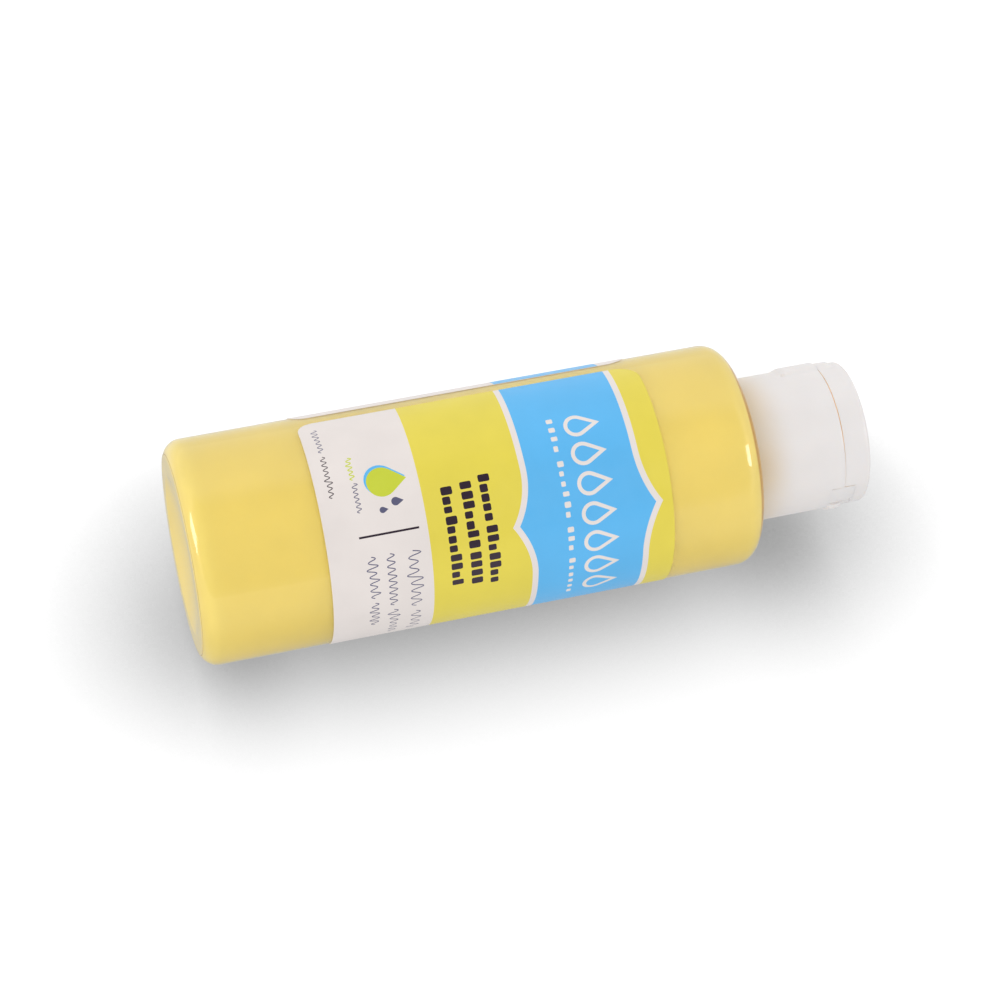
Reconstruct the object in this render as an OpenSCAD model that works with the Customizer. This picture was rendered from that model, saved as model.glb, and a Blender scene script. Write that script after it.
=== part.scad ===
// Squeeze bottle of craft paint with a screw-on flip-top cap.
// The bottle stands on its base ring: the origin is the centre of the base, +Z runs up to the cap,
// and the middle of the front label faces -Y. All lengths are in millimetres.

/* [Bottle] */
// Outer diameter of the bottle
bottle_d = 40.8; // [36:0.2:50]
// Height from the base to the flat of the shoulder
bottle_h = 103; // [95:1:130]
// Radius of the heel, where the side meets the base
heel_r = 3.2; // [2:0.1:5]
// Radius of the shoulder's outer edge
shoulder_r = 3.7; // [2:0.1:5]
// Thickness of the bottle's wall
wall = 0.8; // [0.6:0.05:1]
// Height of the dished middle of the base
push_up_h = 1.6; // [1:0.1:2.5]
// Width of the flat ring that the bottle stands on
base_ring_w = 2.8; // [1.5:0.1:3.5]

/* [Neck] */
// Outer diameter of the neck, at the root of its thread
neck_d = 21.6; // [21.6:0.1:21.8]
// Diameter of the neck's thread, at its crest
thread_d = 23.6; // [23.4:0.1:23.8]
// Diameter of the bore through the neck
bore_d = 17.6; // [14:0.2:18]
// Height of the neck above the shoulder
neck_h = 15; // [14.5:0.1:15.5]
// Rise of the thread in one turn
pitch = 3.175; // [3.175:0.1:3.475]
// Turns of thread on the neck
neck_turns = 1.5; // [1:0.25:1.5]

/* [Paint] */
// Height of the surface of the paint, which stands in the neck, above the base
paint_h = 104; // [103:0.5:108]

/* [Labels] */
// Height above the base of the labels' lower edge
label_z = 23; // [15:0.5:30]
// Height of both labels
label_h = 62.2; // [50:0.2:66]
// Width of the front label around the bottle, in degrees
front_arc = 164; // [120:1:166]
// Width of the back label around the bottle, in degrees
back_arc = 176; // [120:1:184]
// Radius of the labels' corners
label_corner_r = 3.6; // [1:0.1:6]
// Thickness of the label film
label_t = 0.1; // [0.08:0.01:0.2]

/* [Cap] */
// Outer diameter of the cap
cap_d = 26.4; // [26.4:0.2:28]
// Thickness of the cap's skirt
skirt_t = 1; // [0.9:0.05:1.1]
// Thickness of the deck across the top of the cap
deck_t = 1.2; // [1:0.1:1.4]
// Thickness of the seal ring between the neck and the deck
liner_t = 0.8; // [0.6:0.1:1]
// Gap between the cap and the bottle's shoulder
cap_gap = 0.3; // [0.2:0.05:0.6]
// Diameter of the hole that the paint comes out of
orifice_d = 3; // [2:0.1:3.5]
// Outer diameter of the spout around that hole
spout_d = 6.4; // [5.5:0.1:8]
// Height of the spout above the deck
spout_h = 1.9; // [1.4:0.1:2.2]

/* [Lid] */
// Height of the lid
lid_h = 5; // [4.6:0.1:6]
// Gap at the line between the lid and the cap
seam_gap = 0.2; // [0.15:0.01:0.3]
// Direction of the hinge around the bottle, in degrees, with the front label at -90
hinge_dir = -17; // [-180:1:180]
// How far the thumb pad stands out from the cap
pad_proud = 0.5; // [0.3:0.05:0.7]
// Half of the angle that the hinge takes up around the cap, out to its two side slits
hinge_half = 40; // [34:1:42]

/* [Hidden] */
$fn = 96;

// Bottle
bottle_r = bottle_d / 2;
neck_r = neck_d / 2;
bore_r = bore_d / 2;
thread_r = thread_d / 2;
neck_top = bottle_h + neck_h;
neck_fillet = 0.8;
dish_r = bottle_r - heel_r - base_ring_w;
dish_sphere_r = (dish_r * dish_r + push_up_h * push_up_h) / (2 * push_up_h);
paint_gap = 0.05;
label_gap = 0.02;
corner_bite = 0.2;

// Threads: widths of the neck's and the cap's ridges at root and crest
neck_ridge_root_w = 1.9;
neck_ridge_crest_w = 0.9;
cap_ridge_root_w = 1.5;
cap_ridge_crest_w = 0.7;
cap_thread_r = 11.15;
cap_turns = 1.25;
ridge_sink = 0.25;
steps_per_turn = 32;
run_out_steps = 5;
neck_thread_z = neck_top - 2.2 - pitch * neck_turns;
cap_thread_drop = 1.4;

// Cap
cap_r = cap_d / 2;
skirt_in_r = cap_r - skirt_t;
skirt_z = bottle_h + cap_gap;
deck_z = neck_top + liner_t;
seam_z = deck_z + deck_t;
collar_r = 11.75;
collar_t = 0.8;
collar_h = 0.9;
liner_play = 0.02;
liner_r = skirt_in_r - 0.35;
liner_in_r = 7.6;
pad_half = 24;
pad_z = seam_z - 7.8;
pad_slope_h = 2;
dimple_r = 0.45;

// Lid
lid_t = 1;
lid_r = cap_r - 0.15;
lid_in_r = lid_r - lid_t;
lid_z = seam_z + seam_gap;
lid_top = seam_z + lid_h;
lid_edge_r = 0.7;
lip_proud = 0.35;
plug_play = 0.15;
plug_r = orifice_d / 2 - plug_play;
plug_tip_z = seam_z + 0.7;
plug_tip_h = 0.5;

// Hinge: one web in the middle and a strap on each side, in a pocket of the cap and the lid
pocket_down = 2.4;
pocket_up = 2.2;
pocket_depth = 0.6;
slit = 1.2;
strap_t = 0.45;
web_half = 16;
web_proud = 0.5;
web_down = 2;
web_up = 0.9;
web_t = 0.5;
strap_play = 0.08;

// A solid of revolution between two angles around the bottle
module sector(from, to) {
    rotate([0, 0, from]) rotate_extrude(angle = to - from) children();
}

// Outline of the bottle's round body, from the axis out, with rounded heel and shoulder
module body_outline(r, z0, z1, heel, shoulder) {
    translate([0, z0]) square([r - max(heel, shoulder), z1 - z0]);
    translate([0, z0 + heel]) square([r, z1 - z0 - heel - shoulder]);
    translate([0, z0]) square([r - heel, heel * 2]);
    translate([0, z1 - 2 * shoulder]) square([r - shoulder, 2 * shoulder]);
    translate([r - heel, z0 + heel]) circle(heel);
    translate([r - shoulder, z1 - shoulder]) circle(shoulder);
}

// Outline of the dish in the base, raised by lift to follow the wall inside
module dish_outline(lift) {
    intersection() {
        translate([0, push_up_h - dish_sphere_r]) circle(dish_sphere_r + lift);
        translate([0, -1]) square([bottle_r, push_up_h + lift + 1]);
    }
}

// Outline of the hollow of the bottle, kept clear of the wall by play
module hollow_outline(play) {
    inset = wall + play;
    difference() {
        body_outline(bottle_r - inset, inset, bottle_h - inset, heel_r - inset, shoulder_r - inset);
        dish_outline(inset);
    }
}

// Where one point of a thread's ridge lies: f is the turns climbed, side is -1 below and 1 above
function ridge_point(r, z, w, side, f) =
    [r * cos(360 * f), r * sin(360 * f), z + pitch * f + side * w / 2];

// The four corners of a ridge's section at step i of n, which fades in and out over its ends
function ridge_ring(root_r, crest_r, z, root_w, crest_w, turns, i, n) =
    let (f = turns * i / n, fade = min(1, (i + 0.4) / run_out_steps, (n - i + 0.4) / run_out_steps),
         r = root_r + (crest_r - root_r) * fade)
    [ridge_point(root_r, z, root_w, -1, f), ridge_point(r, z, crest_w, -1, f),
     ridge_point(r, z, crest_w, 1, f), ridge_point(root_r, z, root_w, 1, f)];

// A thread's ridge, as one closed solid that winds up around the axis
module ridge(root_r, crest_r, z, root_w, crest_w, turns) {
    n = round(turns * steps_per_turn);
    flip = crest_r < root_r;
    points = [for (i = [0:n]) each ridge_ring(root_r, crest_r, z, root_w, crest_w, turns, i, n)];
    sides = [for (i = [0:n - 1], k = [0:3])
        let (a = 4 * i + k, b = 4 * i + (k + 1) % 4) [a, b, b + 4, a + 4]];
    ends = [[3, 2, 1, 0], [4 * n, 4 * n + 1, 4 * n + 2, 4 * n + 3]];
    polyhedron(points, [for (f = concat(sides, ends)) flip ? [for (j = [3:-1:0]) f[j]] : f]);
}

// Clear shell of the bottle, with its neck, thread and dished base
module bottle() {
    color([0.93, 0.95, 0.96, 0.35]) {
        rotate_extrude() difference() {
            union() {
                body_outline(bottle_r, 0, bottle_h, heel_r, shoulder_r);
                square([neck_r, neck_top]);
                difference() {
                    translate([0, bottle_h]) square([neck_r + neck_fillet, neck_fillet]);
                    translate([neck_r + neck_fillet, bottle_h + neck_fillet]) circle(neck_fillet);
                }
            }
            dish_outline(0);
            hollow_outline(0);
            translate([0, bottle_h / 2]) square([bore_r, bottle_h]);
        }
        ridge(neck_r - ridge_sink, thread_r, neck_thread_z,
              neck_ridge_root_w, neck_ridge_crest_w, neck_turns);
    }
}

// Paint, up to its surface in the neck
module paint_fill() {
    color([0.94, 0.83, 0.42]) rotate_extrude() {
        hollow_outline(paint_gap);
        translate([0, bottle_h / 2]) square([bore_r - paint_gap, paint_h - bottle_h / 2]);
    }
}

// What a label's corner loses to its rounding: z is the height of the corner's centre, and turn is
// the way from the label's end to its middle. The arc crosses the edges at a slight angle.
module corner_cut(angle, z, turn) {
    outer_r = bottle_r + label_t;
    in_angle = (label_corner_r - corner_bite) / outer_r * 180 / PI;
    span = label_corner_r + 1;
    rotate([0, 0, angle + turn * in_angle]) translate([0, 0, z]) rotate([90, 0, 90]) difference() {
        translate([turn > 0 ? -span : 0, z < label_z + label_h / 2 ? -span : 0, outer_r / 2])
            cube([span, span, outer_r]);
        cylinder(r = label_corner_r, h = 2 * outer_r);
    }
}

// A label wrapped around the bottle, centred on the direction mid
module label(mid, arc) {
    low = label_z + label_corner_r - corner_bite;
    high = label_z + label_h - label_corner_r + corner_bite;
    difference() {
        sector(mid - arc / 2, mid + arc / 2)
            translate([bottle_r + label_gap, label_z]) square([label_t, label_h]);
        for (z = [low, high]) {
            corner_cut(mid - arc / 2, z, 1);
            corner_cut(mid + arc / 2, z, -1);
        }
    }
}

module front_label() {
    color([0.35, 0.7, 0.9]) label(-90, front_arc);
}

module back_label() {
    color([0.91, 0.89, 0.87]) label(90, back_arc);
}

// Soft ring that the cap presses onto the neck's rim
module cap_liner() {
    color([0.86, 0.85, 0.82]) rotate_extrude()
        translate([liner_in_r, neck_top + liner_play])
            square([liner_r - liner_in_r, liner_t - 2 * liner_play]);
}

// Outline of the cap from the axis out: skirt, deck, collar that the lid seats on, and spout
module cap_outline() {
    difference() {
        union() {
            translate([0, skirt_z]) square([cap_r, seam_z - skirt_z]);
            translate([collar_r - collar_t, seam_z]) square([collar_t, collar_h]);
            translate([0, seam_z]) square([spout_d / 2, spout_h]);
        }
        translate([0, skirt_z]) square([skirt_in_r, deck_z - skirt_z]);
        translate([0, seam_z - deck_t]) square([orifice_d / 2, deck_t + spout_h]);
    }
}

// Raised pad under the lid's lip, with a sloped lower end
module thumb_pad() {
    r = cap_r + pad_proud;
    in_r = cap_r - 0.4;
    sector(hinge_dir + 180 - pad_half, hinge_dir + 180 + pad_half) polygon([
        [in_r, pad_z], [cap_r, pad_z], [r, pad_z + pad_slope_h], [r, seam_z], [in_r, seam_z]
    ]);
}

// Shallow pocket around the hinge, in the cap or in the lid
module hinge_pocket() {
    r = cap_r - pocket_depth;
    half = hinge_half + slit / 2;
    sector(hinge_dir - half, hinge_dir + half)
        translate([r, seam_z - pocket_down]) square([2, pocket_down + pocket_up]);
}

// Screw cap with its spout, its deck and its thumb pad
module cap_body() {
    color([0.92, 0.9, 0.89]) {
        difference() {
            union() {
                rotate_extrude() cap_outline();
                thumb_pad();
            }
            hinge_pocket();
            rotate([0, 0, hinge_dir + 180 + pad_half])
                translate([cap_r + dimple_r / 2, 0, pad_z + pad_slope_h / 2]) sphere(dimple_r);
        }
        ridge(skirt_in_r + ridge_sink, cap_thread_r, neck_thread_z - cap_thread_drop,
              cap_ridge_root_w, cap_ridge_crest_w, cap_turns);
    }
}

// Outline of the lid from the axis out, with the pin that stops the spout
module lid_outline() {
    difference() {
        union() {
            translate([0, lid_z]) square([lid_r, lid_h - seam_gap - lid_edge_r]);
            translate([0, lid_z]) square([lid_r - lid_edge_r, lid_h - seam_gap]);
            translate([lid_r - lid_edge_r, lid_top - lid_edge_r]) circle(lid_edge_r);
        }
        translate([0, lid_z]) square([lid_in_r, lid_top - lid_t - lid_z]);
    }
    translate([0, plug_tip_z]) polygon([
        [0, 0], [plug_r - plug_tip_h / 2, 0], [plug_r, plug_tip_h],
        [plug_r, lid_top - plug_tip_z - lid_t / 2], [0, lid_top - plug_tip_z - lid_t / 2]
    ]);
}

// Lid that flips up, with a lip over the thumb pad
module flip_lid() {
    color([0.93, 0.91, 0.9]) difference() {
        union() {
            rotate_extrude() lid_outline();
            sector(hinge_dir + 180 - pad_half, hinge_dir + 180 + pad_half)
                translate([lid_in_r + 0.2, lid_z])
                    square([lid_r + lip_proud - lid_in_r - 0.2, lid_h * 0.6]);
        }
        hinge_pocket();
    }
}

// Bent web in the middle of the hinge: it bulges out between the cap and the lid
module hinge_web() {
    out = cap_r + web_proud;
    color([0.92, 0.9, 0.89]) sector(hinge_dir - web_half, hinge_dir + web_half) polygon([
        [cap_r - pocket_depth, seam_z - pocket_down], [cap_r, seam_z - pocket_down],
        [out, seam_z - web_down + 0.4], [out, seam_z - 0.4], [cap_r - 0.1, seam_z + web_up],
        [cap_r - web_t, seam_z + web_up], [cap_r - web_t, seam_z - 0.3],
        [cap_r - pocket_depth, seam_z - 0.5]
    ]);
}

// Flat strap beside the web, on the side given by -1 or 1
module hinge_strap(side) {
    from = web_half + 2;
    r = cap_r - strap_t - 0.1;
    mid = hinge_dir + side * (from + hinge_half) / 2;
    half = (hinge_half - from) / 2 - slit / 4;
    color([0.92, 0.9, 0.89]) sector(mid - half, mid + half)
        translate([r, seam_z - pocket_down])
            square([strap_t, pocket_down + pocket_up - strap_play]);
}

bottle();
paint_fill();
front_label();
back_label();
cap_liner();
cap_body();
flip_lid();
hinge_web();
hinge_strap(-1);  // hinge_strap_left
hinge_strap(1);  // hinge_strap_right
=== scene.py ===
"""Looks of a squeeze bottle of craft paint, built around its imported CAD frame.

Shapes are drawn in millimetres and turned into metres when a mesh is made. +Z runs up to the cap,
the middle of the front label faces -Y, and angles run around the bottle from +X.
"""
import math
import random

import bpy
import bmesh
from mathutils import Matrix, Vector
from mathutils.geometry import delaunay_2d_cdt


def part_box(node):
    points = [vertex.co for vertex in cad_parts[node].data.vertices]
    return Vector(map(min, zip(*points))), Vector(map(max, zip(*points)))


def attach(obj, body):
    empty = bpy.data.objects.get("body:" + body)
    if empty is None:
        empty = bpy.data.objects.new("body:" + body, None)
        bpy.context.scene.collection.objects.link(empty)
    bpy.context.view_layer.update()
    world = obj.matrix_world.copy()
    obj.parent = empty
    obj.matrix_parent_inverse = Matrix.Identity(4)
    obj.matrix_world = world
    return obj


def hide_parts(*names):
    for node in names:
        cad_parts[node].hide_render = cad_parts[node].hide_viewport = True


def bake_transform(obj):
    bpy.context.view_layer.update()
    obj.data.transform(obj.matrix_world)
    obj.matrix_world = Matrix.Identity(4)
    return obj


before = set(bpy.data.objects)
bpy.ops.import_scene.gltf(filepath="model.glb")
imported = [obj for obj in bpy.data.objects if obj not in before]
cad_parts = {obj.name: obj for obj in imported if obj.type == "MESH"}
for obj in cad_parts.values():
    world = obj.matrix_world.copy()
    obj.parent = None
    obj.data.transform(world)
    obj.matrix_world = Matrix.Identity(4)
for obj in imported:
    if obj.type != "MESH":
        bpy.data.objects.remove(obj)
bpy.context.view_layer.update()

MM = 0.001


def corner(node, high):
    """The lowest or highest corner of a CAD node, in millimetres."""
    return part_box(node)[1 if high else 0] / MM


# Bottle
BOTTLE_R = corner("bottle", True).x
NECK_TOP = corner("bottle", True).z
NECK_H = 15
SHOULDER_Z = NECK_TOP - NECK_H
WALL = 0.8
HEEL_R = 3.2
SHOULDER_R = 3.7
DISH_R = 14.4
DISH_H = 1.6
NECK_R = 10.8
BORE_R = 8.8
THREAD_R = 11.8
PITCH = 3.175
NECK_TURNS = 1.5
THREAD_Z = NECK_TOP - 2.2 - PITCH * NECK_TURNS
NECK_THREAD = {"start_z": THREAD_Z, "turns": NECK_TURNS, "foot": 1.9, "crest": 0.9}
THREAD_FADE = 0.12
PAINT_TOP = corner("paint_fill", True).z
WETTING = 0.02

# The mould's line on the heel: its place, half its width and how far it fades, in degrees around
# the heel's arc from the base, and how proud it stands
LINE_PLACE = 18
LINE_HALF = 1.1
LINE_FADE = 2.2
LINE_PROUD = 0.05

# Labels
LABEL_R = BOTTLE_R + 0.12
LABEL_T = 0.1
LABEL_LOW = corner("front_label", False).z
LABEL_HIGH = corner("front_label", True).z
FRONT_MID = -90
FRONT_ARC = 164
BACK_MID = 90
BACK_ARC = 176
LOW_CORNER_R = 3.0
HIGH_CORNER_R = 4.4
PANEL_LOW = 59.0
PANEL_HIGH = 80.43
PANEL_BORDER = 1.07
LIME_Z = 41.1
ART_HALF = 40.0
INKS = {
    "white": (231, 223, 219), "lime": (229, 212, 76), "blue": (90, 183, 240),
    "dark": (46, 28, 46), "slate": (92, 92, 122), "green": (200, 210, 55),
}

# Cap and lid
CAP_R = 13.2
SKIRT_IN_R = 12.2
SKIRT_Z = corner("cap_body", False).z
DECK_Z = NECK_TOP + 0.8
SEAM_Z = DECK_Z + 1.2
COLLAR_R = 11.75
COLLAR_T = 0.8
COLLAR_H = 0.9
SPOUT_R = 3.2
SPOUT_H = 1.9
ORIFICE_R = 1.5
CAP_THREAD_R = 11.15
CAP_THREAD = {"start_z": THREAD_Z - 1.4, "turns": 1.25, "foot": 1.5, "crest": 0.7}
LID_R = 13.05
LID_T = 1.0
LID_IN_R = LID_R - LID_T
LID_Z = SEAM_Z + 0.14
LID_DROP = 0.12
CLOSED_GAP = 0.02
GROOVE = 0.16
LID_TOP = corner("flip_lid", True).z
PLUG_R = 1.35
PLUG_TIP_Z = SEAM_Z + 0.7

# Hinge and thumb pad: their directions and half widths are in degrees around the cap
HINGE_DIR = -17
THUMB_DIR = HINGE_DIR + 180
PAD_HALF = 24
PAD_OUTRUN = 3
PAD_EASE = 8
PAD_Z = SEAM_Z - 7.8
PAD_SLOPE = 2.0
PAD_PROUD = 0.5
LIP_PROUD = 0.35
LIP_H = 3.2
DIMPLE_R = 0.55
DIMPLE_DEPTH = 0.35
POCKET_HALF = 40.6
POCKET_R = CAP_R - 0.6
SLIT_DEPTH = 0.16
POCKET_LOW = SEAM_Z - 2.4
POCKET_HIGH = SEAM_Z + 2.2
WEB_HALF = 16
WEB_PROUD = 0.5
STRAP_FROM = 18.0
STRAP_TO = 39.8
HINGE_LOW = POCKET_LOW - 0.1
HINGE_HIGH = POCKET_HIGH + 0.1

# Degrees between the points of a full turn and of a hinge strip, and a thread's rows in millimetres
TURN_STEP = 1.875
RIBBON_TURN_STEP = 1.2
THREAD_STEP = 0.16

# The ring of painted amber shade on the paint, where the cap shades the shoulder: its inner edge, its
# deepest tint and its outer edge
AMBER_SHADE_IN_R = 15.4
AMBER_SHADE_R = 18.2
AMBER_SHADE_OUT_R = 18.6

# Where nearly all of a noise pattern's values lie
NOISE_RANGE = (0.3, 0.7)

# The photographer's camera: it looks up at the bottle a little, and is turned to lay it on its side
CAMERA_AZIMUTH = -17.2
CAMERA_ELEVATION = -10.9
CAMERA_ROLL = 79.43
CAMERA_LENS = 109.92
CAMERA_DISTANCE = 552.7
AIM_HEIGHT = 58.41
AIM_ASIDE = 0.787

# The floor that the bottle lies over, FLOOR_GAP below the bottle's side so that the opened lid clears
# it. It glows by itself with painted shade, deeper from ENDS_FROM along the bottle, beyond its two ends,
# than up to MIDDLE_TO from its middle, and leaves SHADE_LIMIT of brightness at least
FLOOR_DIR = 32.8
FLOOR_GAP = 10.3
FLOOR_REACH = 20000
FLOOR_BRIGHT = 1.16
SHADE_REACH = 45
SHADE_MIDDLE = 1.38
SHADE_ENDS = 2.25
MIDDLE_TO = 35
ENDS_FROM = 65
SHADE_LIMIT = 0.3
SHADE_SAMPLES = 24

# Light: radiance of the surroundings above and below the floor's level, irradiance and spread of the
# soft suns, how far off the small lamps are, how bright reflections are of the open room, its dark
# side behind the camera, the open floor and the floor in the bottle's shade, and what the camera sees
AMBIENT = 0.94
AMBIENT_LOW = 0.82
KEY = 0.24
KEY_SPREAD = 46
FILL = 0.42
FILL_SPREAD = 55
LAMP_DISTANCE = 700
SHINE_ROOM = 1.15
SHINE_DARK = 0.2
SHINE_FLOOR = 0.95
SHINE_SHADE = 0.5
BACKDROP = 1.2


# Small tools

def circle_point(r, degrees, z):
    """A point at an angle around the bottle, in millimetres."""
    angle = math.radians(degrees)
    return Vector((r * math.cos(angle), r * math.sin(angle), z))


def smooth(x):
    """Eases from 0 to 1 as x runs from 0 to 1."""
    x = min(1.0, max(0.0, x))
    return x * x * (3 - 2 * x)


def angle_from(degrees, mid):
    """How far an angle is from the direction mid, from -180 to 180."""
    return (degrees - mid + 180) % 360 - 180


def steps_between(low, high, step):
    """Evenly spaced values from low to high, no further apart than step."""
    count = max(1, math.ceil(abs(high - low) / step - 1e-9))
    return [low + (high - low) * i / count for i in range(count + 1)]


def add_object(name, data):
    """Puts a mesh, lamp or camera into the scene."""
    added = bpy.data.objects.new(name, data)
    bpy.context.scene.collection.objects.link(added)
    return added


def smooth_piece(name, mesh, sharp=35):
    """An object from a mesh, shaded smooth but for edges sharper than an angle."""
    mesh.shade_smooth()
    mesh.set_sharp_from_angle(angle=math.radians(sharp))
    return add_object(name, mesh)


def add_mesh(name, verts, faces, sharp=35):
    """A clean piece from points in millimetres."""
    mesh = bpy.data.meshes.new(name)
    mesh.from_pydata([Vector(v) * MM for v in verts], [], faces)
    work = bmesh.new()
    work.from_mesh(mesh)
    bmesh.ops.remove_doubles(work, verts=work.verts, dist=1e-7)
    bmesh.ops.dissolve_degenerate(work, edges=work.edges, dist=1e-7)
    bmesh.ops.recalc_face_normals(work, faces=work.faces)
    work.to_mesh(mesh)
    work.free()
    return smooth_piece(name, mesh, sharp)


# Lathe work

def rounded(corners, closed=False):
    """An outline through corners (r, z, radius), with an arc of that radius at each one."""
    points = []
    count = len(corners)
    for i, (r, z, radius) in enumerate(corners):
        here = Vector((r, z))
        if radius == 0 or (not closed and i in (0, count - 1)):
            points.append(here)
            continue
        into = (Vector(corners[i - 1][:2]) - here).normalized()
        out = (Vector(corners[(i + 1) % count][:2]) - here).normalized()
        half = into.angle(out) / 2
        centre = here + (into + out).normalized() * radius / math.sin(half)
        arm = here + into * radius / math.tan(half) - centre
        sweep = math.copysign(math.pi - 2 * half, out.x * into.y - out.y * into.x)
        arc_steps = max(3, round(5 * math.sqrt(radius)))
        for k in range(arc_steps + 1):
            points.append(centre + Matrix.Rotation(sweep * k / arc_steps, 2) @ arm)
    return points


def lathe(name, outline, angles, warp=None, closed=False):
    """Turns an outline of (r, z) points around the axis. warp(r, z, degrees) may move a point."""
    verts, rings = [], []
    for r, z in outline:
        on_axis = r < 1e-6
        rings.append((len(verts), on_axis))
        for degrees in angles[:1] if on_axis else angles:
            moved = warp(r, z, degrees) if warp and not on_axis else (r, z)
            verts.append(circle_point(moved[0], degrees, moved[1]))
    pairs = list(zip(rings, rings[1:]))
    if closed:
        pairs.append((rings[-1], rings[0]))
    faces = []
    for (a, a_point), (b, b_point) in pairs:
        for i in range(len(angles)):
            j = (i + 1) % len(angles)
            low = [a] if a_point else [a + i, a + j]
            high = [b] if b_point else [b + j, b + i]
            faces.append(low + high)
    return add_mesh(name, verts, faces)


def turn(step=TURN_STEP, extra=()):
    """Angles of a full turn, with extra ones where a shape needs them."""
    return sorted({a * step % 360 for a in range(round(360 / step))} | {a % 360 for a in extra})


def thread_height(z, degrees, start_z, turns, foot, crest):
    """Share of a thread's height at a point: 0 off the ridge, 1 on its crest, fading at both ends."""
    best = 0.0
    for lap in range(math.ceil(turns)):
        climbed = degrees / 360 + lap
        if climbed > turns:
            break
        off = abs(z - start_z - PITCH * climbed)
        flank = smooth((foot - 2 * off) / (foot - crest))
        fade = smooth(min(climbed, turns - climbed) / THREAD_FADE)
        best = max(best, flank * fade)
    return best


# Bottle and paint

def dish(lift, out_r):
    """Points of the dished base from the axis out to out_r, raised by lift."""
    sphere_r = (DISH_R ** 2 + DISH_H ** 2) / (2 * DISH_H)
    return [
        (r, DISH_H - sphere_r + math.sqrt((sphere_r + lift) ** 2 - r * r), 0)
        for r in steps_between(0, out_r - 0.8, 1.5)
    ]


def heel():
    """The bottle's round heel, with the fine raised line that the mould's base plate leaves on it."""
    points = []
    for degrees in steps_between(0, 90, 1):
        proud = LINE_PROUD * smooth(1 - abs(degrees - LINE_PLACE) / LINE_FADE)
        angle = math.radians(degrees)
        reach = HEEL_R + proud
        points.append((
            BOTTLE_R - HEEL_R + reach * math.sin(angle), HEEL_R - reach * math.cos(angle), 0
        ))
    return points


def mark_parting_line(wall):
    """Gives the crest of the mould's line on the heel the wall's second material."""
    for face in wall.data.polygons:
        middle = face.center / MM
        across = math.hypot(middle.x, middle.y) - (BOTTLE_R - HEEL_R)
        degrees = math.degrees(math.atan2(across, HEEL_R - middle.z))
        outside = math.hypot(across, HEEL_R - middle.z) > HEEL_R - LINE_PROUD
        if outside and abs(degrees - LINE_PLACE) < LINE_HALF:
            face.material_index = 1


def make_bottle():
    """The clear wall: up its outside from the base, over the neck's rim, and down its inside."""
    neck_rows = [(NECK_R, z, 0) for z in steps_between(SHOULDER_Z + 6, NECK_TOP - 1, THREAD_STEP)]
    top_in = SHOULDER_Z - WALL
    outline = rounded(
        dish(0, DISH_R) + [(DISH_R, 0, 0.5)] + heel()
        + [(BOTTLE_R, z, 0) for z in steps_between(10, SHOULDER_Z - 8, 12)]
        + [(BOTTLE_R, SHOULDER_Z, SHOULDER_R), (NECK_R, SHOULDER_Z, 0.8)]
        + neck_rows
        + [(NECK_R, NECK_TOP, 0.35), (BORE_R, NECK_TOP, 0.35), (BORE_R, top_in, 1.0)]
        + [(BOTTLE_R - WALL, top_in, SHOULDER_R - WALL), (BOTTLE_R - WALL, WALL, HEEL_R - WALL)]
        + [(DISH_R + 0.1, WALL, 0.5)] + dish(WALL, DISH_R)[::-1]
    )

    def warp(r, z, degrees):
        if abs(r - NECK_R) < 1e-6 and z > SHOULDER_Z + 5:
            r += (THREAD_R - NECK_R) * thread_height(z, degrees, **NECK_THREAD)
        return r, z

    return lathe("bottle_wall", outline, turn(), warp)


def make_paint():
    """The paint wets the wall, so its surface lies just inside the wall's plastic."""
    thick = WALL - WETTING
    side = BOTTLE_R - thick
    top = SHOULDER_Z - thick
    bore = BORE_R + WETTING
    outline = rounded(
        dish(thick, DISH_R) + [(DISH_R + 0.1, thick, 0.5), (side, thick, HEEL_R - thick)]
        + [(side, top, SHOULDER_R - thick), (bore, top, 1.0)]
        + [(bore, PAINT_TOP, 0), (bore - 0.3, PAINT_TOP - 0.3, 0)]
        + [(bore - 1.2, PAINT_TOP - 0.5, 0), (0, PAINT_TOP - 0.5, 0)]
    )
    return lathe("paint", outline, turn())


# Artwork of the labels, flat: x runs along the label from its middle, z is the height, in millimetres

def quarter(x, z, radius, start, steps):
    """A quarter of a circle around (x, z), from start degrees."""
    points = []
    for k in range(steps + 1):
        angle = math.radians(start + 90 * k / steps)
        points.append((x + radius * math.cos(angle), z + radius * math.sin(angle)))
    return points


def oblong(x0, z0, x1, z1, radius=0.0):
    """A rectangle, with round corners if it has a radius."""
    if radius == 0:
        return [(x0, z0), (x1, z0), (x1, z1), (x0, z1)]
    centres = [(x1 - radius, z0 + radius, -90), (x1 - radius, z1 - radius, 0)]
    centres += [(x0 + radius, z1 - radius, 90), (x0 + radius, z0 + radius, 180)]
    return [point for x, z, start in centres for point in quarter(x, z, radius, start, 3)]


def label_outline(arc):
    """The cut edge of a label, with its two corner radii."""
    half = math.radians(arc) * LABEL_R / 2
    low, high = LABEL_LOW + LOW_CORNER_R, LABEL_HIGH - HIGH_CORNER_R
    return (
        quarter(half - LOW_CORNER_R, low, LOW_CORNER_R, -90, 12)
        + quarter(half - HIGH_CORNER_R, high, HIGH_CORNER_R, 0, 12)
        + quarter(HIGH_CORNER_R - half, high, HIGH_CORNER_R, 90, 12)
        + quarter(LOW_CORNER_R - half, low, LOW_CORNER_R, 180, 12)
    )


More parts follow.
